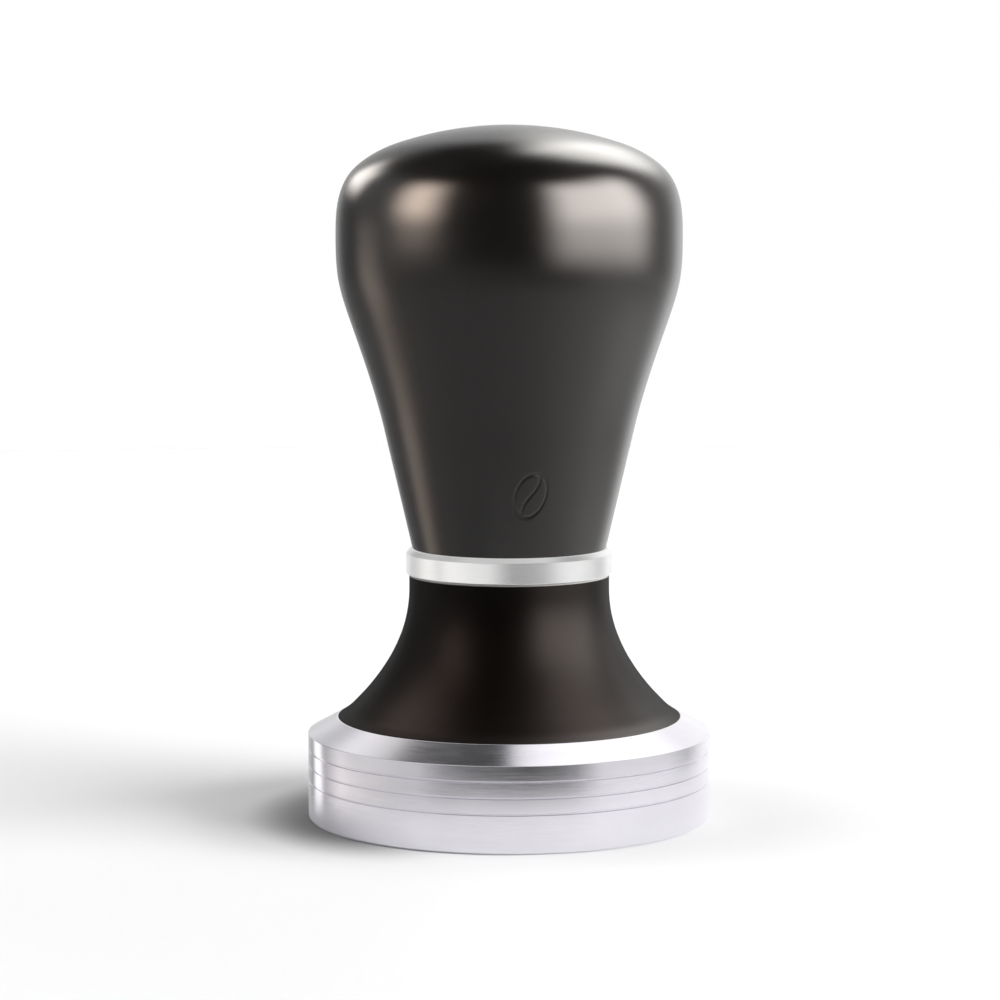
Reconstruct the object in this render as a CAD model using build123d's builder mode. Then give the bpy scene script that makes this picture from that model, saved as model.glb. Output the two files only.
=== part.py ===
from build123d import *
import os

# Espresso tamper: a turned base, a flared neck collar clamped to it by a nut, a
# loose spacer ring, and a pear-shaped handle that screws down the centre stud and
# clamps the ring.  Everything is turned about the Z axis.
# Origin: centre of the base's underside (the tamping face).  +Z up, millimetres.
# Suffixes: R radius, Z height, W width, D depth, T thickness, AF across flats.

# ---- shared fits
THREAD_R = 4.00  # M8 major radius; threads are left plain
FIT = 0.05  # radial and axial clearance at the locating registers

# ---- base disc
BASE_R = 29.25
BASE_EDGE_BREAK = 0.20
BASE_WALL_TOP_Z = 12.25  # foot of the bevel
BASE_SEAT_Z = 14.50  # flat seat the collar stands on
BASE_SEAT_R = 25.05  # outer edge of the seat, head of the bevel
LEVEL_LINE_PITCH = 2.25
LEVEL_LINE_Z = [5.50 + i * LEVEL_LINE_PITCH for i in range(3)]
LEVEL_LINE_W = 0.32  # at the mouth; the floor is half as wide
LEVEL_LINE_D = 0.20
SPIGOT_R = 18.00  # raised register that centres the collar
SPIGOT_TOP_Z = 16.00
SPIGOT_BREAK = 0.30
TAPPED_SINK_R = 4.80

# ---- base seal, an O-ring in the seat
BASE_SEAL_R = 21.00  # pitch radius
BASE_SEAL_SECTION_R = 0.62
BASE_SEAL_GROOVE_W = 1.60
BASE_SEAL_GROOVE_D = 1.28

# ---- centre stud
STUD_R = THREAD_R - 0.02
STUD_BOTTOM_Z = 4.50
STUD_TOP_Z = 54.50
STUD_CHAMFER = 0.90
STUD_SOCKET_AF = 4.00  # hexagon socket in the top end
STUD_SOCKET_D = 4.50

# ---- neck collar
COLLAR_FOOT_R = 24.90
COLLAR_FOOT_LAND = 0.06  # upright land at the foot
COLLAR_TOP_Z = 35.40
COLLAR_TOP_R = 14.50
COLLAR_TOP_ROUND = 0.35
# outer flare from just above the foot to the upright neck, (radius, height)
COLLAR_FLARE = (
    (24.78, 14.62), (23.52, 15.50), (22.46, 16.51), (21.44, 17.57),
    (20.46, 18.67), (19.53, 19.82), (18.65, 21.02), (17.84, 22.25),
    (17.09, 23.52), (16.43, 24.83), (15.85, 26.18), (15.36, 27.56),
    (14.98, 28.98), (14.71, 30.43), (14.55, 31.90), (COLLAR_TOP_R, 33.40),
)
FLARE_FOOT_TANGENT = (-0.82, 0.57)
FLARE_NECK_TANGENT = (0, 1)
COLLAR_REGISTER_R = SPIGOT_R + FIT  # recess over the base's spigot
COLLAR_WEB_BOTTOM_Z = SPIGOT_TOP_Z + FIT
COLLAR_WEB_TOP_Z = 22.00  # clamping web the nut pulls down on
COLLAR_STUD_HOLE_R = 4.25
SOCKET_R = 10.00  # counterbore for the nut and the handle's spigot

# ---- clamping hardware, stacked on the collar's web
WASHER_Z = COLLAR_WEB_TOP_Z
WASHER_R = 8.00
WASHER_HOLE_R = 4.20
WASHER_T = 1.60
WASHER_CHAMFER = 0.25
SPRING_WASHER_Z = WASHER_Z + WASHER_T
SPRING_WASHER_R = 7.40
SPRING_WASHER_HOLE_R = 4.10
SPRING_WASHER_T = 2.00
SPRING_WASHER_GAP = 1.20
SPRING_WASHER_GAP_ANGLE = 20
NUT_Z = SPRING_WASHER_Z + SPRING_WASHER_T
NUT_AF = 13.00
NUT_T = 6.50
NUT_FACE_R = 6.60  # corner cone where it meets each face
NUT_CONE_R = 7.80  # the same cone, NUT_CONE_DROP in from the face
NUT_CONE_DROP = 0.50
NUT_SINK_R = THREAD_R + 0.60

# ---- spacer ring
RING_BOTTOM_Z = COLLAR_TOP_Z
RING_TOP_Z = 39.00
RING_R = 14.92
RING_CHAMFER = 0.65
RING_FOOT_ROUND = 0.22

# ---- grip O-ring, on the handle's spigot inside the spacer ring
GRIP_Z = 37.20
GRIP_PITCH_R = 9.38
GRIP_SECTION_R = 0.60
GRIP_GROOVE_FLOOR_R = 8.76
GRIP_GROOVE_W = 1.60

# ---- thread insert, flush with the stud's top end
INSERT_BORE_R = 6.00
INSERT_R = INSERT_BORE_R - 0.02
INSERT_BOTTOM_Z = 39.50
INSERT_TOP_Z = STUD_TOP_Z
INSERT_THREAD_R = THREAD_R + 0.03
INSERT_CHAMFER = 0.50
INSERT_SLOT_W = 2.00
INSERT_SLOT_D = 2.20
INSERT_SLOT_OVERRUN = 0.50  # past the wall at each end

# ---- handle
HANDLE_BOTTOM_Z = RING_TOP_Z
HANDLE_FOOT_R = 14.02
HANDLE_FOOT_BREAK = 0.20
HANDLE_CONE_R = 17.45  # end of the straight lower cone
HANDLE_CONE_Z = 53.70
# swelling flank, belly and rolled shoulder, (radius, height)
HANDLE_FLANK = (
    (18.171, 56.827), (18.947, 59.810), (19.821, 62.794), (20.785, 65.822),
    (21.772, 68.739), (22.824, 71.763), (23.769, 74.631), (24.526, 77.665),
    (24.859, 80.827), (24.914, 83.920), (24.818, 87.029), (24.268, 90.145),
    (22.906, 92.911), (20.591, 95.034), (17.900, 96.561),
)
DOME_R = 50.50  # spherical radius of the palm dome
DOME_EDGE_R = 13.50  # the dome runs out to here
HANDLE_TOP_Z = 99.90
HANDLE_SPIGOT_R = SOCKET_R - FIT  # centres ring and collar
HANDLE_SPIGOT_BOTTOM_Z = 33.00
HANDLE_SPIGOT_BREAK = 0.40
RELIEF_R = 4.60  # blind hole above the insert, with a conical end
RELIEF_TOP_Z = 60.00
RELIEF_CONE_H = 0.6 * RELIEF_R


def dome_z(r):
    """Height of the palm dome at radius r."""
    return HANDLE_TOP_Z - DOME_R + (DOME_R**2 - r**2) ** 0.5


def outer_circles(builder, radius):
    """Circular edges at the outer radius, lowest first."""
    circles = builder.edges().filter_by(GeomType.CIRCLE)
    return circles.filter_by(lambda e: e.radius > radius - 0.1).sort_by(Axis.Z)


def make_o_ring(pitch_r, z, section_r):
    with BuildPart() as o_ring:
        with BuildSketch(Plane.XZ):
            with Locations((pitch_r, z)):
                Circle(section_r)
        revolve(axis=Axis.Z)
    return o_ring.part


def make_base_disc():
    # level lines: shallow grooves with sloping sides and a flat floor
    floor_r = BASE_R - LEVEL_LINE_D
    wall_points = []
    for z in LEVEL_LINE_Z:
        wall_points += [
            (BASE_R, z - LEVEL_LINE_W / 2),
            (floor_r, z - LEVEL_LINE_W / 4),
            (floor_r, z + LEVEL_LINE_W / 4),
            (BASE_R, z + LEVEL_LINE_W / 2),
        ]

    with BuildPart() as disc:
        # wall, bevel, seat and spigot in one turned profile
        with BuildSketch(Plane.XZ):
            with BuildLine():
                Polyline(
                    (0, 0),
                    (BASE_R - BASE_EDGE_BREAK, 0),
                    (BASE_R, BASE_EDGE_BREAK),
                    *wall_points,
                    (BASE_R, BASE_WALL_TOP_Z),
                    (BASE_SEAT_R, BASE_SEAT_Z),
                    (SPIGOT_R, BASE_SEAT_Z),
                    (SPIGOT_R, SPIGOT_TOP_Z - SPIGOT_BREAK),
                    (SPIGOT_R - SPIGOT_BREAK, SPIGOT_TOP_Z),
                    (0, SPIGOT_TOP_Z),
                    close=True,
                )
            make_face()
        revolve(axis=Axis.Z)
        # O-ring groove in the seat
        with BuildSketch(Plane.XY.offset(BASE_SEAT_Z)):
            Circle(BASE_SEAL_R + BASE_SEAL_GROOVE_W / 2)
            Circle(BASE_SEAL_R - BASE_SEAL_GROOVE_W / 2, mode=Mode.SUBTRACT)
        extrude(amount=-BASE_SEAL_GROOVE_D, mode=Mode.SUBTRACT)
        # blind tapped hole for the stud, countersunk at its mouth
        with Locations((0, 0, SPIGOT_TOP_Z)):
            CounterSinkHole(
                radius=THREAD_R,
                counter_sink_radius=TAPPED_SINK_R,
                depth=SPIGOT_TOP_Z - STUD_BOTTOM_Z,
            )
    return disc.part


def make_centre_stud():
    with BuildPart() as stud:
        with BuildSketch(Plane.XY.offset(STUD_BOTTOM_Z)):
            Circle(STUD_R)
        extrude(amount=STUD_TOP_Z - STUD_BOTTOM_Z)
        chamfer(stud.edges().filter_by(GeomType.CIRCLE), length=STUD_CHAMFER)
        with BuildSketch(Plane.XY.offset(STUD_TOP_Z)):
            RegularPolygon(radius=STUD_SOCKET_AF / 2, side_count=6, major_radius=False)
        extrude(amount=-STUD_SOCKET_D, mode=Mode.SUBTRACT)
    return stud.part


def make_neck_collar():
    with BuildPart() as collar:
        with BuildSketch(Plane.XZ):
            with BuildLine():
                Polyline(
                    (0, BASE_SEAT_Z),
                    (COLLAR_FOOT_R, BASE_SEAT_Z),
                    (COLLAR_FOOT_R, BASE_SEAT_Z + COLLAR_FOOT_LAND),
                    COLLAR_FLARE[0],
                )
                Spline(*COLLAR_FLARE, tangents=(FLARE_FOOT_TANGENT, FLARE_NECK_TANGENT))
                neck = Line(
                    COLLAR_FLARE[-1], (COLLAR_TOP_R, COLLAR_TOP_Z - COLLAR_TOP_ROUND)
                )
                lip = RadiusArc(
                    neck @ 1,
                    (COLLAR_TOP_R - COLLAR_TOP_ROUND, COLLAR_TOP_Z),
                    -COLLAR_TOP_ROUND,
                )
                Polyline(lip @ 1, (0, COLLAR_TOP_Z), (0, BASE_SEAT_Z))
            make_face()
        revolve(axis=Axis.Z)
        # register recess over the base's spigot
        with BuildSketch(Plane.XY.offset(BASE_SEAT_Z)):
            Circle(COLLAR_REGISTER_R)
        extrude(amount=COLLAR_WEB_BOTTOM_Z - BASE_SEAT_Z, mode=Mode.SUBTRACT)
        # socket from the top, then a clearance hole for the stud
        with Locations((0, 0, COLLAR_TOP_Z)):
            CounterBoreHole(
                radius=COLLAR_STUD_HOLE_R,
                counter_bore_radius=SOCKET_R,
                counter_bore_depth=COLLAR_TOP_Z - COLLAR_WEB_TOP_Z,
            )
    return collar.part


def make_flat_washer():
    with BuildPart() as washer:
        with BuildSketch(Plane.XY.offset(WASHER_Z)):
            Circle(WASHER_R)
            Circle(WASHER_HOLE_R, mode=Mode.SUBTRACT)
        extrude(amount=WASHER_T)
        chamfer(outer_circles(washer, WASHER_R)[-1], length=WASHER_CHAMFER)
    return washer.part


def make_spring_washer():
    """Split lock washer, flat because the nut has closed it up."""
    with BuildPart() as washer:
        with BuildSketch(Plane.XY.offset(SPRING_WASHER_Z)):
            Circle(SPRING_WASHER_R)
            Circle(SPRING_WASHER_HOLE_R, mode=Mode.SUBTRACT)
            # slanted split on the +X side
            with Locations(((SPRING_WASHER_R + SPRING_WASHER_HOLE_R) / 2, 0)):
                Rectangle(
                    2 * (SPRING_WASHER_R - SPRING_WASHER_HOLE_R),
                    SPRING_WASHER_GAP,
                    rotation=SPRING_WASHER_GAP_ANGLE,
                    mode=Mode.SUBTRACT,
                )
        extrude(amount=SPRING_WASHER_T)
    return washer.part


def make_clamp_nut():
    nut_top_z = NUT_Z + NUT_T
    with BuildPart() as nut:
        with BuildSketch(Plane.XY.offset(NUT_Z)):
            RegularPolygon(radius=NUT_AF / 2, side_count=6, major_radius=False)
        extrude(amount=NUT_T)
        # corners turned back on both faces
        with BuildSketch(Plane.XZ):
            with BuildLine():
                Polyline(
                    (0, NUT_Z),
                    (NUT_FACE_R, NUT_Z),
                    (NUT_CONE_R, NUT_Z + NUT_CONE_DROP),
                    (NUT_CONE_R, nut_top_z - NUT_CONE_DROP),
                    (NUT_FACE_R, nut_top_z),
                    (0, nut_top_z),
                    close=True,
                )
            make_face()
        revolve(axis=Axis.Z, mode=Mode.INTERSECT)
        with Locations((0, 0, nut_top_z)):
            CounterSinkHole(radius=THREAD_R, counter_sink_radius=NUT_SINK_R)
    return nut.part


def make_spacer_ring():
    with BuildPart() as ring:
        with BuildSketch(Plane.XY.offset(RING_BOTTOM_Z)):
            Circle(RING_R)
            Circle(SOCKET_R, mode=Mode.SUBTRACT)
        extrude(amount=RING_TOP_Z - RING_BOTTOM_Z)
        chamfer(outer_circles(ring, RING_R)[-1], length=RING_CHAMFER)
        fillet(outer_circles(ring, RING_R)[0], radius=RING_FOOT_ROUND)
    return ring.part


def make_handle_body():
    cone_slope = (HANDLE_CONE_R - HANDLE_FOOT_R) / (HANDLE_CONE_Z - HANDLE_BOTTOM_Z)
    dome_slope = DOME_EDGE_R / (DOME_R**2 - DOME_EDGE_R**2) ** 0.5
    cone_end = (HANDLE_CONE_R, HANDLE_CONE_Z)
    dome_edge = (DOME_EDGE_R, dome_z(DOME_EDGE_R))
    groove_bottom_z = GRIP_Z - GRIP_GROOVE_W / 2
    groove_top_z = GRIP_Z + GRIP_GROOVE_W / 2

    with BuildPart() as handle:
        with BuildSketch(Plane.XZ):
            with BuildLine():
                # spigot with its O-ring groove, foot and lower cone
                Polyline(
                    (0, HANDLE_SPIGOT_BOTTOM_Z),
                    (HANDLE_SPIGOT_R - HANDLE_SPIGOT_BREAK, HANDLE_SPIGOT_BOTTOM_Z),
                    (HANDLE_SPIGOT_R, HANDLE_SPIGOT_BOTTOM_Z + HANDLE_SPIGOT_BREAK),
                    (HANDLE_SPIGOT_R, groove_bottom_z),
                    (GRIP_GROOVE_FLOOR_R, groove_bottom_z),
                    (GRIP_GROOVE_FLOOR_R, groove_top_z),
                    (HANDLE_SPIGOT_R, groove_top_z),
                    (HANDLE_SPIGOT_R, HANDLE_BOTTOM_Z),
                    (HANDLE_FOOT_R - HANDLE_FOOT_BREAK, HANDLE_BOTTOM_Z),
                    (
                        HANDLE_FOOT_R + cone_slope * HANDLE_FOOT_BREAK,
                        HANDLE_BOTTOM_Z + HANDLE_FOOT_BREAK,
                    ),
                    cone_end,
                )
                # flank, tangent to the cone below and the dome above
                Spline(
                    cone_end,
                    *HANDLE_FLANK,
                    dome_edge,
                    tangents=((cone_slope, 1), (-1, dome_slope)),
                )
                ThreePointArc(
                    dome_edge,
                    (DOME_EDGE_R / 2, dome_z(DOME_EDGE_R / 2)),
                    (0, HANDLE_TOP_Z),
                )
                Line((0, HANDLE_TOP_Z), (0, HANDLE_SPIGOT_BOTTOM_Z))
            make_face()
        revolve(axis=Axis.Z)
        # blind stepped bore from below: seat of the thread insert, then relief
        with BuildSketch(Plane.XY.offset(HANDLE_SPIGOT_BOTTOM_Z)):
            Circle(INSERT_BORE_R)
        extrude(amount=INSERT_TOP_Z - HANDLE_SPIGOT_BOTTOM_Z, mode=Mode.SUBTRACT)
        with BuildSketch(Plane.XZ):
            with BuildLine():
                Polyline(
                    (0, INSERT_TOP_Z),
                    (RELIEF_R, INSERT_TOP_Z),
                    (RELIEF_R, RELIEF_TOP_Z - RELIEF_CONE_H),
                    (0, RELIEF_TOP_Z),
                    close=True,
                )
            make_face()
        revolve(axis=Axis.Z, mode=Mode.SUBTRACT)
    return handle.part


def make_thread_insert():
    with BuildPart() as insert:
        with BuildSketch(Plane.XY.offset(INSERT_BOTTOM_Z)):
            Circle(INSERT_R)
        extrude(amount=INSERT_TOP_Z - INSERT_BOTTOM_Z)
        top_edge = insert.edges().filter_by(GeomType.CIRCLE).sort_by(Axis.Z)[-1]
        chamfer(top_edge, length=INSERT_CHAMFER)
        with Locations((0, 0, INSERT_TOP_Z)):
            Hole(radius=INSERT_THREAD_R)
        # screwdriver slot across the lower end, along X
        with BuildSketch(Plane.XY.offset(INSERT_BOTTOM_Z)):
            Rectangle(2 * (INSERT_R + INSERT_SLOT_OVERRUN), INSERT_SLOT_W)
        extrude(amount=INSERT_SLOT_D, mode=Mode.SUBTRACT)
    return insert.part


base_seal_z = BASE_SEAT_Z - BASE_SEAL_GROOVE_D / 2  # mid-depth of its groove
parts = {
    "base_disc": make_base_disc(),
    "base_seal": make_o_ring(BASE_SEAL_R, base_seal_z, BASE_SEAL_SECTION_R),
    "centre_stud": make_centre_stud(),
    "neck_collar": make_neck_collar(),
    "flat_washer": make_flat_washer(),
    "spring_washer": make_spring_washer(),
    "clamp_nut": make_clamp_nut(),
    "spacer_ring": make_spacer_ring(),
    "grip_o_ring": make_o_ring(GRIP_PITCH_R, GRIP_Z, GRIP_SECTION_R),
    "handle_body": make_handle_body(),
    "thread_insert": make_thread_insert(),
}

os.makedirs("parts", exist_ok=True)
for name, part in parts.items():
    part.label = name
    export_step(part, f"parts/{name}.step")
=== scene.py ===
# A coffee tamper standing upright on its base disc: everything is turned about Z, the
# underside of the disc is at z = 0 and the front, with a small engraved bean, faces -Y.
# From the bottom up: steel disc, flared black collar, satin ring, dark handle.
# Profiles are in mm; materials, stage and camera are in metres.
import math

import bmesh
import bpy
import numpy as np
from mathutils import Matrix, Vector


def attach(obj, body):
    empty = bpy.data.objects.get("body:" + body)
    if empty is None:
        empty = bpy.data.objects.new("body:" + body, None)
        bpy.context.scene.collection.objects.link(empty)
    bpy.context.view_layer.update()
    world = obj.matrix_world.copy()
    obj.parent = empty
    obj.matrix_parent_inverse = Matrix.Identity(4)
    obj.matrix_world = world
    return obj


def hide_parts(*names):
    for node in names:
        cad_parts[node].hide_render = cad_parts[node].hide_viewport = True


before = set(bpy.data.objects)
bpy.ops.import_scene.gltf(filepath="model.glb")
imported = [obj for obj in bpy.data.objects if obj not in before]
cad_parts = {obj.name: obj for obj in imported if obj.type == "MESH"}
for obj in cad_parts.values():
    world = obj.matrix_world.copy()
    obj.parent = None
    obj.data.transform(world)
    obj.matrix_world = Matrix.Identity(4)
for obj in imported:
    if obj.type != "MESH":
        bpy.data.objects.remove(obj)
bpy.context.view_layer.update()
MM = 0.001

# --------------------------------------------------------------------------
# driving dimensions shared by the pieces, mm
# --------------------------------------------------------------------------
DISC_R = 29.25
DISC_TOP = 14.50       # the collar stands here
BOSS_R = 18.00         # raised middle of the disc, inside the collar
BOSS_TOP = 16.00
BOSS_FIT = 0.05        # gap between boss and collar
BORE_R = 10.00         # through the ring and the top of the collar
COLLAR_R = 14.50
COLLAR_TOP = 35.40     # the ring stands here
RING_TOP = 39.00       # the handle stands here
STUD_FOOT = 4.50       # floor of the hole in the disc
STUD_TOP = 54.50
SEAL_R = 21.00         # middle of the seal groove in the disc's top
O_RING_Z = 37.20       # middle of the groove round the handle's spigot
SEAL_GROOVE_HALF = 0.80  # half width of both grooves
DEFAULT_BREAK = 0.03   # corner radius where a profile gives none


# --------------------------------------------------------------------------
# turned profiles: a list of corners (r, z, break radius) and smooth runs
# ("run", [(r, z), ...]), travelled with the solid on the left
# --------------------------------------------------------------------------
def cubic_run(points, start_tangent, end_tangent, count):
    """Interpolating cubic through points with end tangents, sampled count times."""
    points = np.array(points, float)
    along = np.r_[0, np.cumsum(np.hypot(*np.diff(points, axis=0).T))]
    last = len(points) - 1
    span = np.diff(along)
    matrix = np.zeros((last + 1, last + 1))
    target = np.zeros((last + 1, 2))
    matrix[0, 0] = matrix[-1, -1] = 1
    target[0] = np.array(start_tangent, float) / np.hypot(*start_tangent)
    target[-1] = np.array(end_tangent, float) / np.hypot(*end_tangent)
    for i in range(1, last):
        matrix[i, i - 1] = span[i]
        matrix[i, i] = 2 * (span[i - 1] + span[i])
        matrix[i, i + 1] = span[i - 1]
        target[i] = 3 * (
            span[i] * (points[i] - points[i - 1]) / span[i - 1]
            + span[i - 1] * (points[i + 1] - points[i]) / span[i]
        )
    slopes = np.linalg.solve(matrix, target)
    samples = []
    for s in np.linspace(0, along[-1], count):
        i = min(max(int(np.searchsorted(along, s)) - 1, 0), last - 1)
        t = (s - along[i]) / span[i]
        samples.append(tuple(
            (2 * t**3 - 3 * t**2 + 1) * points[i]
            + (t**3 - 2 * t**2 + t) * span[i] * slopes[i]
            + (-2 * t**3 + 3 * t**2) * points[i + 1]
            + (t**3 - t**2) * span[i] * slopes[i + 1]
        ))
    return samples


def edge(start, end):
    """Outward normal and length of a straight edge."""
    dr, dz = end[0] - start[0], end[1] - start[1]
    length = math.hypot(dr, dz)
    return np.array((dz / length, -dr / length)), length


def build_profile(items, closed, arc_steps=4):
    """Points and outward normals along a profile, with its corners rounded."""
    raw = []
    for item in items:
        if item[0] == "run":
            raw += [(r, z, 0.0, True) for r, z in item[1]]
        else:
            raw.append((*item, DEFAULT_BREAK)[:3] + (False,))
    corners = [raw[0]]
    for corner in raw[1:]:
        if math.hypot(corner[0] - corners[-1][0], corner[1] - corners[-1][1]) > 1e-5:
            corners.append(corner)
    count = len(corners)
    points, normals = [], []

    def put(point, normal):
        points.append(point)
        normals.append(normal)

    for i, corner in enumerate(corners):
        here = np.array(corner[:2])
        first = i == 0 and not closed
        final = i == count - 1 and not closed
        if not first:
            before = corners[i - 1]
            normal_in, length_in = edge(before, corner)
        if not final:
            normal_out, length_out = edge(corner, corners[(i + 1) % count])
        if first or final:
            put(here, normal_out if first else normal_in)
            continue
        break_radius, smooth = corner[2:]
        if smooth:
            mean = normal_in / length_in + normal_out / length_out
            put(here, mean / np.linalg.norm(mean))
            continue
        cosine = float(np.clip(normal_in @ normal_out, -1, 1))
        if cosine > 0.9995:
            put(here, normal_out)
            continue
        angle = math.acos(cosine)
        setback = min(break_radius * math.tan(angle / 2), 0.45 * length_in, 0.45 * length_out)
        radius = setback / math.tan(angle / 2)
        back = (np.array(before[:2]) - here) / length_in
        turn = normal_in[0] * normal_out[1] - normal_in[1] * normal_out[0]
        side = 1.0 if turn > 0 else -1.0
        centre = here + back * setback - normal_in * radius * side
        steps = max(2, int(round(arc_steps * angle / (math.pi / 2))) + 1)
        for k in range(steps + 1):
            share = k / steps
            normal = (normal_in * math.sin((1 - share) * angle)
                      + normal_out * math.sin(share * angle))
            normal = normal / np.linalg.norm(normal)
            put(centre + normal * radius * side, normal)
    return np.array(points), np.array(normals)


# --------------------------------------------------------------------------
# meshes
# --------------------------------------------------------------------------
def link_object(name, mesh):
    obj = bpy.data.objects.new(name, mesh)
    bpy.context.scene.collection.objects.link(obj)
    return obj


def even(count):
    return np.arange(count) * 2 * math.pi / count


def push_in(grid, normals, depth):
    """Moves grid points in along their normals and renews the normals there."""
    moved = grid - normals * depth[..., None]
    touched = np.zeros(depth.shape, bool)
    engraved = np.abs(depth) > 1e-6
    for di in (-1, 0, 1):
        for dj in (-1, 0, 1):
            touched |= np.roll(np.roll(engraved, di, 0), dj, 1)
    along = np.gradient(moved, axis=0)
    around = np.roll(moved, -1, 1) - np.roll(moved, 1, 1)
    cross = np.cross(around, along)
    cross /= np.maximum(np.linalg.norm(cross, axis=-1, keepdims=True), 1e-12)
    cross *= np.sign((cross * normals).sum(-1, keepdims=True))
    return moved, np.where(touched[..., None], cross, normals)


def revolve(profile, angles):
    """Grid of (r, z) pairs turned about Z: rows along the profile, columns around."""
    grid = np.empty((len(profile), len(angles), 3))
    grid[..., 0] = profile[:, :1] * np.cos(angles)
    grid[..., 1] = profile[:, :1] * np.sin(angles)
    grid[..., 2] = profile[:, 1:2]
    return grid


def lathe(name, profile, angles, closed, depth_at=None):
    """Revolves (points, normals) in mm about Z into a quad mesh with exact normals.
    depth_at(grid) may give a depth in mm to push each point in by."""
    points, point_normals = profile
    rows, columns = len(points), len(angles)
    grid = revolve(points, angles)
    grid_normals = revolve(point_normals, angles)
    if depth_at is not None:
        grid, grid_normals = push_in(grid, grid_normals, depth_at(grid))
    index = -np.ones((rows, columns), int)
    verts, normals = [], []
    for i in range(rows):
        if points[i, 0] < 1e-6:
            # one shared vertex on the axis
            index[i, :] = len(verts)
            verts.append((0.0, 0.0, points[i, 1]))
            normals.append((0.0, 0.0, 1.0 if point_normals[i, 1] > 0 else -1.0))
        else:
            for j in range(columns):
                index[i, j] = len(verts)
                verts.append(tuple(grid[i, j]))
                normals.append(tuple(grid_normals[i, j]))
    faces = []
    for i in range(rows if closed else rows - 1):
        k = (i + 1) % rows
        for j in range(columns):
            m = (j + 1) % columns
            a, b, c, d = index[i, j], index[i, m], index[k, m], index[k, j]
            if a == b:
                if c != d:
                    faces.append((a, c, d))
            elif c == d:
                faces.append((a, b, c))
            else:
                faces.append((a, b, c, d))
    mesh = bpy.data.meshes.new(name)
    mesh.from_pydata([tuple(x * MM for x in vert) for vert in verts], [], faces)
    mesh.validate()
    mesh.polygons.foreach_set("use_smooth", [True] * len(mesh.polygons))
    mesh.normals_split_custom_set_from_vertices(normals)
    mesh.update()
    return link_object(name, mesh)


def install(obj, material, body, node):
    """Gives a piece its material and puts it in place of a CAD node."""
    obj.data.materials.clear()
    obj.data.materials.append(material)
    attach(obj, body)
    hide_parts(node)


# --------------------------------------------------------------------------
# node helpers
# --------------------------------------------------------------------------
class Nodes:
    """Builds a node tree; an input may be given a value or another node's output."""

    def __init__(self, owner):
        owner.use_nodes = True
        self.tree = owner.node_tree
        self.tree.nodes.clear()

    def node(self, kind, inputs=None, **settings):
        node = self.tree.nodes.new(kind)
        for key, value in settings.items():
            setattr(node, key, value)
        for key, value in (inputs or {}).items():
            if hasattr(value, "is_output"):
                self.tree.links.new(value, node.inputs[key])
            else:
                node.inputs[key].default_value = value
        return node

    def out(self, kind, inputs=None, **settings):
        return self.node(kind, inputs, **settings).outputs[0]

    def math(self, operation, *values):
        return self.out("ShaderNodeMath", dict(enumerate(values)), operation=operation)

    def map_range(self, value, low, high, to_low=0.0, to_high=1.0, kind="LINEAR"):
        return self.out("ShaderNodeMapRange", {
            "Value": value, "From Min": low, "From Max": high,
            "To Min": to_low, "To Max": to_high,
        }, interpolation_type=kind)

    def step(self, value, low, high, to_low=0.0, to_high=1.0):
        return self.map_range(value, low, high, to_low, to_high, "SMOOTHSTEP")

    def spread(self, noise, to_low, to_high):
        """Stretches the middle of a noise over a range."""
        return self.map_range(noise, 0.3, 0.7, to_low, to_high)

    def mix(self, factor, a, b, blend="MIX"):
        return self.node("ShaderNodeMix", {"Factor": factor, "A": a, "B": b},
                         data_type="RGBA", blend_type=blend).outputs["Result"]

    def combine(self, x, y, z):
        return self.out("ShaderNodeCombineXYZ", {0: x, 1: y, 2: z})

    def shade(self, colour, level):
        """Multiplies a colour by a grey level."""
        return self.mix(1.0, colour, self.combine(level, level, level), "MULTIPLY")

    def separate(self, vector):
        return self.node("ShaderNodeSeparateXYZ", {0: vector}).outputs

    def length(self, x, y):
        return self.math("SQRT", self.math("ADD", self.math("MULTIPLY", x, x),
                                           self.math("MULTIPLY", y, y)))

    def noise(self, vector, scale, detail=2.0, rough=0.5):
        return self.out("ShaderNodeTexNoise", {
            "Vector": vector, "Scale": scale, "Detail": detail, "Roughness": rough})

    def bump(self, height, strength, distance, normal=None):
        inputs = {"Strength": strength, "Distance": distance, "Height": height}
        if normal is not None:
            inputs["Normal"] = normal
        return self.out("ShaderNodeBump", inputs)

    def object_point(self):
        return self.node("ShaderNodeTexCoord").outputs["Object"]

    def light_path(self):
        return self.node("ShaderNodeLightPath").outputs

    def mix_shader(self, factor, a, b):
        return self.out("ShaderNodeMixShader", {0: factor, 1: a, 2: b})

    def finish(self, shader, kind="ShaderNodeOutputMaterial"):
        self.node(kind, {0: shader})


def new_material(name):
    material = bpy.data.materials.new(name)
    return material, Nodes(material)


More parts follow.
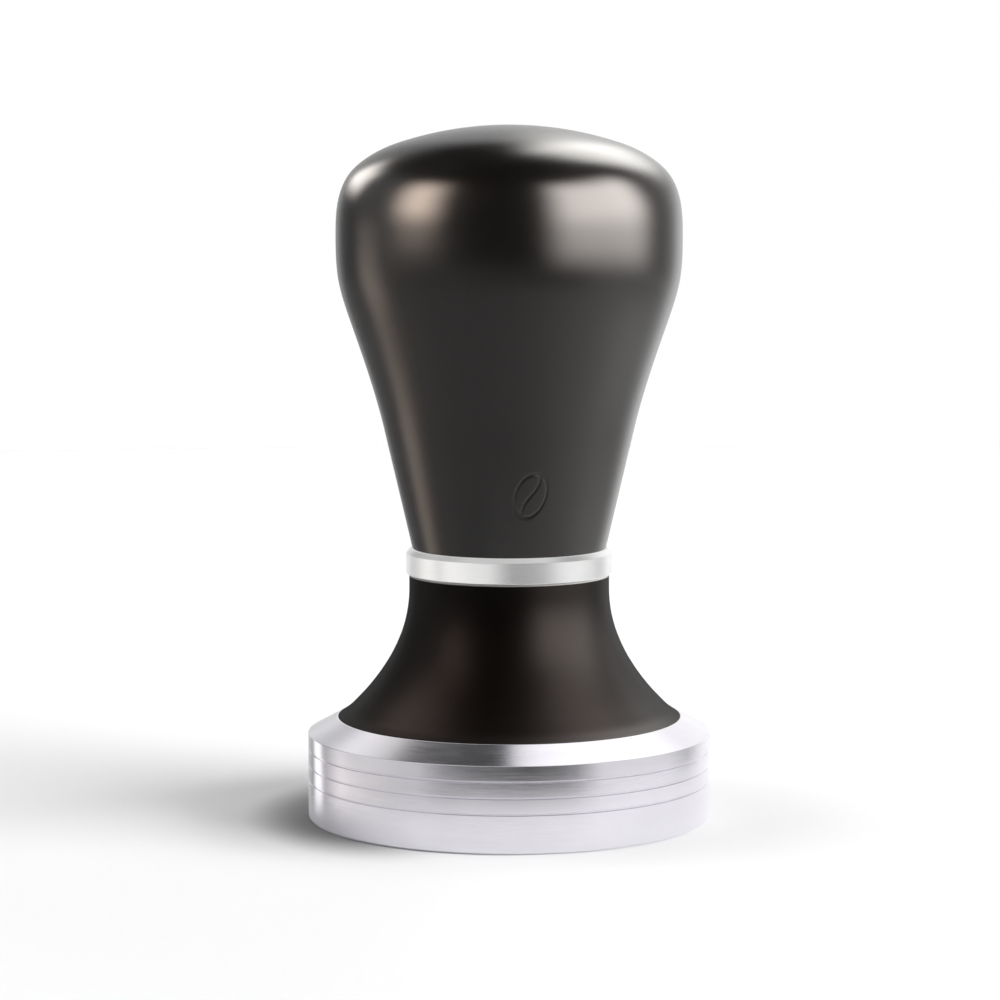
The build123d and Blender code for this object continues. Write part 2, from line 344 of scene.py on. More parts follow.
# --------------------------------------------------------------------------
# materials; lengths in metres
# --------------------------------------------------------------------------
def anodised(name, colour, tint, rough, blotch, grain, sheen, cast, painted_edge_highlight=None, veil=0.0):
    """Dyed anodised aluminium: bead-blasted grain under a thin sealed oxide skin.
    blotch: roughness variation; grain: bump strength; sheen, cast: specular level
    and tint; painted_edge_highlight: a lighter band painted into the colour of a top
    edge as a painted highlight; veil: dimming seen edge-on."""
    material, nodes = new_material(name)
    point = nodes.object_point()
    cloud = nodes.noise(point, scale=60.0, detail=3.0, rough=0.55)
    fine = nodes.noise(point, scale=5200.0, rough=0.6)
    finer = nodes.noise(point, scale=11000.0, detail=1.0)
    skin = nodes.mix(nodes.spread(cloud, 0.0, 1.0), colour + (1,), tint + (1,))
    skin = nodes.shade(skin, nodes.map_range(finer, 0.25, 0.75, 0.82, 1.18))
    if painted_edge_highlight is not None:
        # painted highlight: a lighter band mixed into the colour along the top edge, where the
        # edge catches the light; the noise makes its lower limit ragged
        z = nodes.separate(point)[2]
        wander = nodes.math("MULTIPLY", nodes.math("SUBTRACT", cloud, 0.5), 0.00004)
        edge_fade = nodes.step(nodes.math("ADD", z, wander),
                               painted_edge_highlight["start"], painted_edge_highlight["start"] + painted_edge_highlight["fade"])
        skin = nodes.mix(edge_fade, skin, painted_edge_highlight["colour"] + (1,))
    shader = nodes.out("ShaderNodeBsdfPrincipled", {
        "Base Color": skin,
        "Roughness": nodes.math("ADD", nodes.spread(cloud, rough - blotch, rough + blotch),
                                nodes.spread(fine, -0.02, 0.02)),
        "IOR": 1.5,
        "Specular IOR Level": sheen,
        "Specular Tint": cast + (1,),
        "Normal": nodes.bump(fine, grain, 0.00002, nodes.bump(finer, grain, 0.00001)),
    })
    if veil > 0.0:
        # a look setting: the sheen is dimmed where the skin is seen edge-on
        facing = nodes.node("ShaderNodeLayerWeight", {"Blend": 0.5}).outputs["Facing"]
        soot = nodes.out("ShaderNodeBsdfDiffuse", {"Color": skin})
        shader = nodes.mix_shader(nodes.step(facing, 0.50, 1.0, 0.0, veil), shader, soot)
    nodes.finish(shader)
    return material


def turned_metal(name, colour, tint, rough, blotch, aniso, lines, line_scale, streak,
                 bevel=None):
    """Fine-turned metal: the tool's circular marks spread reflections across them.
    blotch: roughness variation; aniso: anisotropy; lines, line_scale: bump strength
    and noise scale of the marks; streak: their darkening; bevel: a rougher top."""
    material, nodes = new_material(name)
    point = nodes.object_point()
    x, y, z = nodes.separate(point)
    radius = nodes.length(x, y)
    safe = nodes.math("MAXIMUM", radius, 1e-5)
    # circular tool marks: fine across (radius and height), long around
    across = nodes.combine(
        nodes.math("MULTIPLY", nodes.math("DIVIDE", x, safe), 0.0016),
        nodes.math("MULTIPLY", nodes.math("DIVIDE", y, safe), 0.0016),
        nodes.math("ADD", z, nodes.math("MULTIPLY", radius, 1.31)))
    marks = nodes.noise(across, scale=line_scale, detail=3.0, rough=0.65)
    wide = nodes.noise(across, scale=line_scale * 0.16)
    cloud = nodes.noise(point, scale=90.0)
    pit = nodes.noise(point, scale=6500.0, detail=1.0)
    metal = nodes.mix(nodes.spread(cloud, 0.0, 1.0), colour + (1,), tint + (1,))
    level = nodes.math("ADD", nodes.spread(marks, 1.0 - streak, 1.0 + streak * 0.4),
                       nodes.spread(pit, -0.015, 0.015))
    roughness = nodes.math("ADD", nodes.spread(wide, rough - blotch, rough + blotch),
                           nodes.spread(marks, -0.03, 0.03))
    if bevel is not None:
        # the bevel is cut coarser
        start = bevel["start"]
        roughness = nodes.math("ADD", roughness,
                               nodes.step(z, start, start + 0.0001, 0.0, bevel["rougher"]))
    nodes.finish(nodes.out("ShaderNodeBsdfPrincipled", {
        "Base Color": nodes.shade(metal, level),
        "Metallic": 1.0,
        "Roughness": roughness,
        "Anisotropic": aniso,
        "Anisotropic Rotation": 0.25,
        "Tangent": nodes.out("ShaderNodeTangent", direction_type="RADIAL", axis="Z"),
        "Normal": nodes.bump(marks, lines, 0.00001, nodes.bump(wide, lines * 0.6, 0.00002)),
    }))
    return material


def rubber(name):
    material, nodes = new_material(name)
    point = nodes.object_point()
    cloud = nodes.noise(point, scale=220.0, detail=3.0, rough=0.6)
    fine = nodes.noise(point, scale=4200.0, rough=0.6)
    nodes.finish(nodes.out("ShaderNodeBsdfPrincipled", {
        "Base Color": nodes.mix(cloud, (0.012, 0.012, 0.013, 1), (0.03, 0.03, 0.031, 1)),
        "Roughness": nodes.spread(fine, 0.5, 0.72),
        "Specular IOR Level": 0.4,
        "Normal": nodes.bump(fine, strength=0.25, distance=0.00003),
    }))
    return material


HANDLE_MAT = anodised(
    "handle_anodised_satin", colour=(0.0026, 0.0021, 0.0018), tint=(0.0038, 0.0030, 0.0026),
    rough=0.21, blotch=0.012, grain=0.04, sheen=0.5, cast=(1.0, 0.975, 0.96))
COLLAR_MAT = anodised(
    "collar_anodised_matt", colour=(0.0007, 0.0005, 0.0004), tint=(0.0011, 0.0008, 0.0006),
    rough=0.36, blotch=0.02, grain=0.06, sheen=0.08, cast=(1.0, 0.89, 0.86),
    # painted highlight on the collar's top edge: a light grey band put into the colour
    painted_edge_highlight={"start": 0.03500, "fade": 0.00016, "colour": (0.42, 0.41, 0.40)}, veil=0.7)
BASE_MAT = turned_metal(
    "base_fine_turned_steel", colour=(0.80, 0.785, 0.835), tint=(0.83, 0.81, 0.86),
    rough=0.17, blotch=0.01, aniso=0.80, lines=0.003, line_scale=3800.0, streak=0.02,
    bevel={"start": 0.01220, "rougher": 0.03})
RING_MAT = turned_metal(
    "ring_satin_aluminium", colour=(0.86, 0.86, 0.855), tint=(0.89, 0.89, 0.885),
    rough=0.32, blotch=0.02, aniso=0.55, lines=0.008, line_scale=3000.0, streak=0.03)
STUD_MAT = turned_metal(
    "stud_rolled_steel", colour=(0.60, 0.60, 0.61), tint=(0.68, 0.67, 0.67),
    rough=0.26, blotch=0.05, aniso=0.3, lines=0.10, line_scale=2600.0, streak=0.12)
FASTENER_MAT = turned_metal(
    "fastener_plain_steel", colour=(0.55, 0.55, 0.55), tint=(0.64, 0.63, 0.62),
    rough=0.36, blotch=0.06, aniso=0.1, lines=0.14, line_scale=1500.0, streak=0.15)
RUBBER_MAT = rubber("seal_rubber")

# --------------------------------------------------------------------------
# base disc: three fine grooves in the wall, a seal groove and a boss on top
# --------------------------------------------------------------------------
GROOVE_FIRST_Z, GROOVE_PITCH, GROOVE_COUNT = 5.50, 2.25, 3
GROOVE_DEPTH = 0.20
GROOVE_MOUTH, GROOVE_FLOOR = 0.16, 0.07  # half widths
SEAL_GROOVE_Z = 13.22
STUD_HOLE_R = 4.00
# the wall's normals lean up between these heights, to this slope, with this power
LEAN_FROM, LEAN_TO, LEAN_SLOPE, LEAN_POWER = 5.0, 12.2, 0.085, 1.6


def make_base():
    items = [(0, 0), (DISC_R - 0.20, 0, 0.06), (DISC_R, 0.20, 0.10)]
    for i in range(GROOVE_COUNT):
        z = GROOVE_FIRST_Z + i * GROOVE_PITCH
        items += [
            (DISC_R, z - GROOVE_MOUTH),
            (DISC_R - GROOVE_DEPTH, z - GROOVE_FLOOR),
            (DISC_R - GROOVE_DEPTH, z + GROOVE_FLOOR),
            (DISC_R, z + GROOVE_MOUTH),
        ]
    outer, inner = SEAL_R + SEAL_GROOVE_HALF, SEAL_R - SEAL_GROOVE_HALF
    items += [
        (DISC_R, 12.25, 0.12), (25.05, DISC_TOP, 0.08),
        (outer, DISC_TOP, 0.05), (outer, SEAL_GROOVE_Z, 0.10),
        (inner, SEAL_GROOVE_Z, 0.10), (inner, DISC_TOP, 0.05),
        (BOSS_R, DISC_TOP, 0.05), (BOSS_R, BOSS_TOP - 0.30, 0.05),
        (BOSS_R - 0.30, BOSS_TOP, 0.08), (STUD_HOLE_R + 0.80, BOSS_TOP, 0.05),
        (STUD_HOLE_R, BOSS_TOP - 0.80, 0.05), (STUD_HOLE_R, STUD_FOOT, 0.05), (0, STUD_FOOT),
    ]
    points, normals = build_profile(items, closed=False)
    # shading only: the wall stays straight, but its normals lean up to 4.9 degrees
    # towards the top edge so that it mirrors a little more of the sky
    for i, (r, z) in enumerate(points):
        if abs(r - DISC_R) < 1e-3 and LEAN_FROM < z < LEAN_TO:
            share = (z - LEAN_FROM) / (LEAN_TO - LEAN_FROM)
            normals[i] = (1.0, LEAN_SLOPE * share**LEAN_POWER)
            normals[i] /= np.linalg.norm(normals[i])
    obj = lathe("base_disc_turned", (points, normals), even(384), closed=False)
    install(obj, BASE_MAT, "base", "base_disc")
    return obj


# --------------------------------------------------------------------------
# neck collar: flares down from a short cylinder to a wide foot
# --------------------------------------------------------------------------
# (r, z) up the flare
FLARE = [
    (24.78, 14.62), (23.52, 15.50), (22.46, 16.51), (21.44, 17.57), (20.46, 18.67),
    (19.53, 19.82), (18.65, 21.02), (17.84, 22.25), (17.09, 23.52), (16.43, 24.83),
    (15.85, 26.18), (15.36, 27.56), (14.98, 28.98), (14.71, 30.43), (14.55, 31.90),
    (COLLAR_R, 33.40),
]
COLLAR_FOOT_R = 24.90
COLLAR_WEB_Z = 22.00   # top of the web between the two bores
COLLAR_HOLE_R = 4.25   # through the web


def make_collar():
    socket_r, socket_z = BOSS_R + BOSS_FIT, BOSS_TOP + BOSS_FIT
    items = [
        (socket_r, DISC_TOP, 0.05), (COLLAR_FOOT_R, DISC_TOP), (COLLAR_FOOT_R, 14.56),
        ("run", cubic_run(FLARE, (-0.82, 0.57), (0, 1), 90)),
        (COLLAR_R, COLLAR_TOP, 0.35), (BORE_R, COLLAR_TOP, 0.12), (BORE_R, COLLAR_WEB_Z, 0.25),
        (COLLAR_HOLE_R, COLLAR_WEB_Z, 0.10), (COLLAR_HOLE_R, socket_z, 0.10),
        (socket_r, socket_z, 0.12),
    ]
    profile = build_profile(items, closed=True, arc_steps=6)
    obj = lathe("neck_collar_anodised", profile, even(360), closed=True)
    install(obj, COLLAR_MAT, "base", "neck_collar")
    return obj


# --------------------------------------------------------------------------
# spacer ring, bevelled round its top
# --------------------------------------------------------------------------
RING_R = 14.92
RING_BEVEL = 0.65


def make_ring():
    items = [
        (BORE_R, COLLAR_TOP, 0.15), (RING_R, COLLAR_TOP, 0.12),
        (RING_R, RING_TOP - RING_BEVEL, 0.06), (RING_R - RING_BEVEL, RING_TOP, 0.05),
        (BORE_R, RING_TOP, 0.15),
    ]
    profile = build_profile(items, closed=True, arc_steps=6)
    obj = lathe("spacer_ring_satin", profile, even(384), closed=True)
    install(obj, RING_MAT, "spacer", "spacer_ring")
    return obj


# --------------------------------------------------------------------------
# handle, with a small plain coffee bean engraved in the front of its lower cone
# --------------------------------------------------------------------------
# (r, z) up the flank, from the top of the cone to the edge of the dome
FLANK = [
    (17.45, 53.70), (18.171, 56.827), (18.947, 59.810), (19.821, 62.794), (20.785, 65.822),
    (21.772, 68.739), (22.824, 71.763), (23.769, 74.631), (24.526, 77.665), (24.859, 80.827),
    (24.914, 83.920), (24.818, 87.029), (24.268, 90.145), (22.906, 92.911), (20.591, 95.034),
    (17.900, 96.561),
]
CONE_FOOT_R = 14.02
CONE_SLOPE = (FLANK[0][0] - CONE_FOOT_R) / (FLANK[0][1] - RING_TOP)
DOME_R, HANDLE_TOP = 50.5, 99.9
CAP_R = 13.5           # where the flank meets the spherical cap
SPIGOT_R, SPIGOT_FOOT = 9.95, 33.00
INSERT_HOLE_R = 6.00
STUD_BORE_R = 4.60

# the bean: middle (arc to the right of the front, height), half width, half height, tilt
BEAN_ARC, BEAN_Z = 3.0, 48.0
BEAN_HALF_W, BEAN_HALF_H = 2.15, 3.15
BEAN_TILT = math.radians(-18)
CONE_MEAN_R = 16.0     # turns an angle into an arc length
CUT_DEPTH, CUT_WIDTH = 0.085, 0.19
CREASE_SWAY, CREASE_WAVE = 0.5, 2.6    # sideways swing and wave number of the crease
CREASE_REACH = 0.93                    # share of the half height it covers
RIM_SCALE, CREASE_SCALE = 1.12, 0.93   # bring both distances close to true mm


def engraving(grid):
    """Depth in mm of the engraved mark: a bean outline and its crease."""
    x, y, z = grid[..., 0], grid[..., 1], grid[..., 2]
    arc = np.where(y < 0, np.arctan2(x, -y) * CONE_MEAN_R, 99.0)
    right, up = arc - BEAN_ARC, z - BEAN_Z
    across = right * math.cos(BEAN_TILT) + up * math.sin(BEAN_TILT)
    along = -right * math.sin(BEAN_TILT) + up * math.cos(BEAN_TILT)
    oval = np.sqrt((across / BEAN_HALF_W) ** 2 + (along / BEAN_HALF_H) ** 2)
    rim = np.abs(oval - 1.0) * BEAN_HALF_W * RIM_SCALE
    sway = CREASE_SWAY * np.sin(along / BEAN_HALF_H * CREASE_WAVE)
    crease = np.abs(across - sway) * CREASE_SCALE
    crease = np.where(np.abs(along) < BEAN_HALF_H * CREASE_REACH, crease, 9.0)
    depth = CUT_DEPTH * np.exp(-((np.minimum(rim, crease) / CUT_WIDTH) ** 2))
    # only on the outer skin of the cone, around the bean
    near = (np.hypot(x, y) > 13.9) & (z > 43.8) & (z < 52.3) & (np.abs(arc) < 7)
    depth = np.where(near, depth, 0.0)
    return np.where(depth > 1e-4, depth, 0.0)


def dome(r):
    return HANDLE_TOP - DOME_R + math.sqrt(DOME_R**2 - r * r)


def handle_angles():
    """Columns round the handle, close together across the engraving."""
    front = -math.pi / 2
    left, right = math.radians(1.0), math.radians(22.0)
    return np.r_[
        front + np.linspace(-left, right, 80),
        front + right + (2 * math.pi - left - right) * np.arange(1, 281) / 281.0,
    ]


def make_handle():
    # rows are closest where the bean is engraved
    heights = np.r_[39.8, np.arange(40.4, 43.2, 0.6), np.arange(43.4, 52.7, 0.12), 53.2]
    cone = [(CONE_FOOT_R + CONE_SLOPE * (z - RING_TOP), z) for z in heights]
    fine = cubic_run(FLANK + [(CAP_R, dome(CAP_R))], (CONE_SLOPE, 1),
                     (-1, CAP_R / math.sqrt(DOME_R**2 - CAP_R**2)), 1400)
    flank = fine[::15] + [fine[-1]]
    cap = [(r, dome(r)) for r in np.linspace(CAP_R, 0.0, 22)[1:]]
    groove_low, groove_high = O_RING_Z - SEAL_GROOVE_HALF, O_RING_Z + SEAL_GROOVE_HALF
    groove_r = 8.76
    items = [
        (0, 60.00), (STUD_BORE_R, 57.24, 0.2), (STUD_BORE_R, 54.50, 0.1),
        (INSERT_HOLE_R, 54.50, 0.1), (INSERT_HOLE_R, SPIGOT_FOOT, 0.25),
        (SPIGOT_R - 0.40, SPIGOT_FOOT, 0.08), (SPIGOT_R, SPIGOT_FOOT + 0.40, 0.10),
        (SPIGOT_R, groove_low, 0.06), (groove_r, groove_low, 0.12),
        (groove_r, groove_high, 0.12), (SPIGOT_R, groove_high, 0.06),
        (SPIGOT_R, RING_TOP, 0.08), (CONE_FOOT_R, RING_TOP, 0.20),
        ("run", cone), ("run", flank), ("run", cap),
    ]
    profile = build_profile(items, closed=False)
    obj = lathe("handle_body_anodised", profile, handle_angles(), False, depth_at=engraving)
    install(obj, HANDLE_MAT, "handle", "handle_body")
    return obj


# --------------------------------------------------------------------------
# stud with a real right-hand thread and a hexagon socket in its top
# --------------------------------------------------------------------------
THREAD_PITCH, CREST_R, ROOT_R = 1.25, 3.98, 3.22
STUD_END_R = 3.05      # radius at both ends, widening at 45 degrees
STUD_COLUMNS = 64
SOCKET_INRADIUS, SOCKET_DEPTH = 2.0, 4.5
# one pitch of the thread form: (share of pitch, radius)
THREAD_FORM = [
    (0.00, ROOT_R), (0.10, ROOT_R + 0.03), (0.44, CREST_R - 0.03), (0.50, CREST_R),
    (0.60, CREST_R), (0.66, CREST_R - 0.03),
]


def thread_surface():
    """Vertices (mm) and faces of the open helical skin, clamped to the stud's ends."""
    turns = int((STUD_TOP - STUD_FOOT) / THREAD_PITCH) + 2
    rows = [(STUD_FOOT + (turn + share) * THREAD_PITCH, radius)
            for turn in range(-1, turns) for share, radius in THREAD_FORM]
    count = len(rows)
    verts, faces = [], []
    for j in range(STUD_COLUMNS):
        angle = 2 * math.pi * j / STUD_COLUMNS
        for row_z, row_r in rows:
            z = min(max(row_z + THREAD_PITCH * j / STUD_COLUMNS, STUD_FOOT), STUD_TOP)
            r = min(row_r, STUD_END_R + (z - STUD_FOOT), STUD_END_R + (STUD_TOP - z))
            verts.append((r * math.cos(angle), r * math.sin(angle), z))
    for j in range(STUD_COLUMNS):
        following = (j + 1) % STUD_COLUMNS
        # the helix steps one pitch at the seam
        offset = 0 if following else len(THREAD_FORM)
        for i in range(count - 1 - offset):
            a, d = j * count + i, following * count + i + offset
            faces.append((a, d, d + 1, a + 1))
    return verts, faces


def cap_stud(bm):
    """Closes the bottom flat and sinks the hexagon socket into the top."""
    rims = [e for e in bm.edges if len(e.link_faces) == 1]

    def angle_of(vert):
        return math.atan2(vert.co.y, vert.co.x)

    def rim_at(z):
        verts = {v for e in rims if all(abs(w.co.z - z) < 1e-7 for w in e.verts)
                 for v in e.verts}
        return sorted(verts, key=angle_of)

    top_z = STUD_TOP * MM
    bottom, top = rim_at(STUD_FOOT * MM), rim_at(top_z)
    bm.faces.new(list(reversed(bottom)))
    upper, lower = [], []
    for vert in top:
        angle = angle_of(vert)
        off_flat = (angle % (math.pi / 3)) - math.pi / 6
        r = SOCKET_INRADIUS / math.cos(off_flat)
        x, y = r * MM * math.cos(angle), r * MM * math.sin(angle)
        upper.append(bm.verts.new((x, y, top_z)))
        lower.append(bm.verts.new((x, y, top_z - SOCKET_DEPTH * MM)))
    for i in range(len(top)):
        k = (i + 1) % len(top)
        bm.faces.new((top[i], top[k], upper[k], upper[i]))
        bm.faces.new((upper[i], upper[k], lower[k], lower[i]))
    bm.faces.new(lower)


def make_stud():
    name = "centre_stud_threaded"
    verts, faces = thread_surface()
    mesh = bpy.data.meshes.new(name)
    mesh.from_pydata([tuple(x * MM for x in vert) for vert in verts], [], faces)
    bm = bmesh.new()
    bm.from_mesh(mesh)
    bmesh.ops.remove_doubles(bm, verts=bm.verts, dist=1e-8)
    bmesh.ops.dissolve_degenerate(bm, edges=bm.edges, dist=1e-8)
    loose = [v for v in bm.verts if not v.link_faces]
    bmesh.ops.delete(bm, geom=loose, context="VERTS")
    cap_stud(bm)
    bmesh.ops.recalc_face_normals(bm, faces=bm.faces)
    bm.to_mesh(mesh)
    bm.free()
    mesh.polygons.foreach_set("use_smooth", [True] * len(mesh.polygons))
    mesh.set_sharp_from_angle(angle=math.radians(38))
    obj = link_object(name, mesh)
    install(obj, STUD_MAT, "base", "centre_stud")
    return obj


# --------------------------------------------------------------------------
# rubber rings
# --------------------------------------------------------------------------
def make_rubber_ring(name, node, body, middle_r, middle_z, cord_r):
    around = np.linspace(0, 2 * math.pi, 24, endpoint=False)
    normals = np.array([(math.cos(a), math.sin(a)) for a in around])
    points = np.array((middle_r, middle_z)) + cord_r * normals
    obj = lathe(name, (points, normals), even(192), closed=True)
    install(obj, RUBBER_MAT, body, node)


base = make_base()
collar = make_collar()
ring = make_ring()
handle = make_handle()
stud = make_stud()
make_rubber_ring("base_seal_rubber", "base_seal", "base",
                 middle_r=SEAL_R, middle_z=13.86, cord_r=0.62)
make_rubber_ring("grip_o_ring_rubber", "grip_o_ring", "spacer",
                 middle_r=9.38, middle_z=O_RING_Z, cord_r=0.60)

# CAD pieces kept as they are, with a new material
small_parts = []
for node_name, part_material in (
    ("flat_washer", FASTENER_MAT), ("spring_washer", FASTENER_MAT),
    ("clamp_nut", FASTENER_MAT), ("thread_insert", STUD_MAT),
):
    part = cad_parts[node_name]
    part.data.materials.clear()
    part.data.materials.append(part_material)
    small_parts.append(part)

# reflections show the studio, not these pieces
for part in (handle, collar, ring, stud, *small_parts):
    part.visible_glossy = False

# --------------------------------------------------------------------------
# floor: a pale disc that fades out far away, and close by in reflections
# --------------------------------------------------------------------------
FLOOR_Z = -0.03  # mm
FLOOR_RADII = (900, 640, 480, 350, 250, 180, 130, 90, 60, 40, 20, 0.0)  # mm


def floor_material():
    material, nodes = new_material("floor_pale")
    point = nodes.object_point()
    x, y, _ = nodes.separate(point)
    radius = nodes.length(x, y)

    def sector(component, start, end):
        """Fades in as the direction from the axis turns towards a side."""
        share = nodes.math("DIVIDE", component, nodes.math("MAXIMUM", radius, 1e-4))
        return nodes.step(share, start, end)

    path = nodes.light_path()
    seen = path["Is Camera Ray"]
    paper = nodes.noise(point, scale=900.0, detail=3.0, rough=0.6)
    paper = nodes.mix(paper, (0.905, 0.905, 0.91, 1), (0.925, 0.925, 0.93, 1))
    # painted, not cast: contact shades by the disc that only the camera sees,
    # strong on the left and faint on the right
    left = sector(nodes.math("MULTIPLY", x, -1.0), 0.25, 0.85)
    strong = nodes.math("MULTIPLY", nodes.math("MULTIPLY", left, seen),
                        nodes.step(radius, 0.0295, 0.0400, 0.58, 0.0))
    right = sector(x, 0.0, 0.8)
    faint = nodes.math("MULTIPLY", nodes.math("MULTIPLY", right, seen),
                       nodes.step(radius, 0.0295, 0.0600, 0.10, 0.0))
    shade = nodes.math("MAXIMUM", strong, faint)
    diffuse = nodes.out("ShaderNodeBsdfDiffuse",
                        {"Color": nodes.mix(shade, paper, (0.0, 0.0, 0.0, 1))})
    # reflections lose the floor near the disc, soonest on the left and behind
    far = nodes.step(radius, 0.40, 0.85)
    behind = sector(y, -0.5, 0.2)
    pull = nodes.math("MULTIPLY", left,
                      nodes.math("ADD", 0.45, nodes.math("MULTIPLY", behind, 0.6)))
    near = nodes.step(nodes.math("MULTIPLY", radius, nodes.math("ADD", 1.0, pull)),
                      0.048, 0.105)
    hide = nodes.out("ShaderNodeMix", {"Factor": path["Is Glossy Ray"], "A": far, "B": near},
                     data_type="FLOAT")
    nodes.finish(nodes.mix_shader(hide, diffuse, nodes.out("ShaderNodeBsdfTransparent")))
    return material


floor_profile = (np.array([(r, FLOOR_Z) for r in FLOOR_RADII]),
                 np.array([(0.0, 1.0)] * len(FLOOR_RADII)))
floor = lathe("floor", floor_profile, even(96), closed=False)
floor.data.materials.append(floor_material())

# --------------------------------------------------------------------------
# surround: white to the camera, a graded studio in reflections
# --------------------------------------------------------------------------
# Azimuths in degrees: 0 is the front (-Y), 90 the right (+X).
# Each band is (azimuth, grey level or colour).
DEEP = [
    (-180, 0.55), (-150, 0.45), (-130, 0.46), (-112, (0.68, 0.61, 0.56)),
    (-97, (0.76, 0.69, 0.63)), (-80, 0.66), (-30, 0.60), (0, 0.64), (22, 0.76), (37, 0.92),
    (52, 1.10), (67, 1.25), (100, 1.65), (140, 1.50), (165, 0.90), (180, 0.55)]
BELOW = [
    (-180, 0.80), (-165, 0.55), (-150, 0.30), (-128, 0.30), (-112, (0.80, 0.75, 0.72)),
    (-97, (0.92, 0.87, 0.83)), (-85, (0.66, 0.62, 0.59)), (-60, 0.54), (-35, 0.50),
    (-10, 0.38), (10, 0.34), (28, 0.34), (48, 0.50), (65, 1.05), (80, 1.20), (104, 1.00),
    (122, 0.80), (142, 1.10), (165, 1.10), (180, 0.80)]
LOW = [
    (-180, 0.85), (-168, 0.62), (-156, 0.62), (-142, 0.24), (-126, 0.24), (-113, 0.55),
    (-99, 0.70), (-85, 0.75), (-52, 0.60), (-36, 0.25), (-20, 0.12), (12, 0.06), (26, 0.12),
    (38, 0.26), (53, 0.80), (100, 0.76), (120, 0.50), (145, 1.05), (168, 1.10), (180, 0.85)]
HIGH = [
    (-180, 0.05), (-168, 0.04), (-152, 0.06), (-120, 0.14), (-90, 0.20), (-60, 0.10),
    (-35, 0.06), (0, 0.05), (30, 0.08), (60, 0.15), (110, 0.30), (135, 0.50), (160, 0.50),
    (168, 0.50), (174, 0.20), (180, 0.04)]
# (elevations in degrees between which the band takes over from the one below, band)
BANDS = [(-30, -15, BELOW), (-11, -5, LOW), (30, 52, HIGH)]
ZENITH = (0.06, 0.06, 0.06, 1)


def azimuth_ramp(nodes, turn, table):
    node = nodes.node("ShaderNodeValToRGB", {0: turn})
    elements = node.color_ramp.elements
    while len(elements) > 1:
        elements.remove(elements[-1])
    for i, (azimuth, level) in enumerate(table):
        position = (azimuth + 180.0) / 360.0
        colour = level if isinstance(level, tuple) else (level, level, level)
        if i == 0:
            elements[0].position = position
            element = elements[0]
        else:
            element = elements.new(position)
        element.color = colour + (1.0,)
    return node.outputs[0]


def make_world():
    world = bpy.data.worlds.new("studio")
    bpy.context.scene.world = world
    nodes = Nodes(world)
    x, y, z = nodes.separate(nodes.node("ShaderNodeTexCoord").outputs["Generated"])
    azimuth = nodes.math("ARCTAN2", x, nodes.math("MULTIPLY", y, -1.0))
    elevation = nodes.math("ARCSINE", z)
    turn = nodes.map_range(azimuth, -math.pi, math.pi)

    def above(start, end):
        return nodes.step(elevation, math.radians(start), math.radians(end))

    studio = azimuth_ramp(nodes, turn, DEEP)
    for start, end, table in BANDS:
        studio = nodes.mix(above(start, end), studio, azimuth_ramp(nodes, turn, table))
    studio = nodes.mix(above(64, 80), studio, ZENITH)
    reflected = nodes.out("ShaderNodeBackground", {"Color": studio})
    white = nodes.out("ShaderNodeBackground", {"Color": (1.0, 1.0, 1.0, 1)})
    nodes.finish(nodes.mix_shader(nodes.light_path()["Is Camera Ray"], reflected, white),
                 "ShaderNodeOutputWorld")
    world.cycles_visibility.diffuse = False
    world.cycles.sampling_method = "NONE"


make_world()


# --------------------------------------------------------------------------
# softboxes
# --------------------------------------------------------------------------
def receivers(name, *objects):
    group = bpy.data.collections.new(name)
    for obj in objects:
        group.objects.link(obj)
    return group


dark = receivers("dark_anodised_receivers", handle, collar)
grip = receivers("handle_receivers", handle)
neck = receivers("collar_receivers", collar)
bright = receivers("base_receivers", base)
band = receivers("ring_receivers", ring)

WHITE = (1.0, 1.0, 1.0)
SPHERE_CENTRE = Vector((0, 0, 0.05))

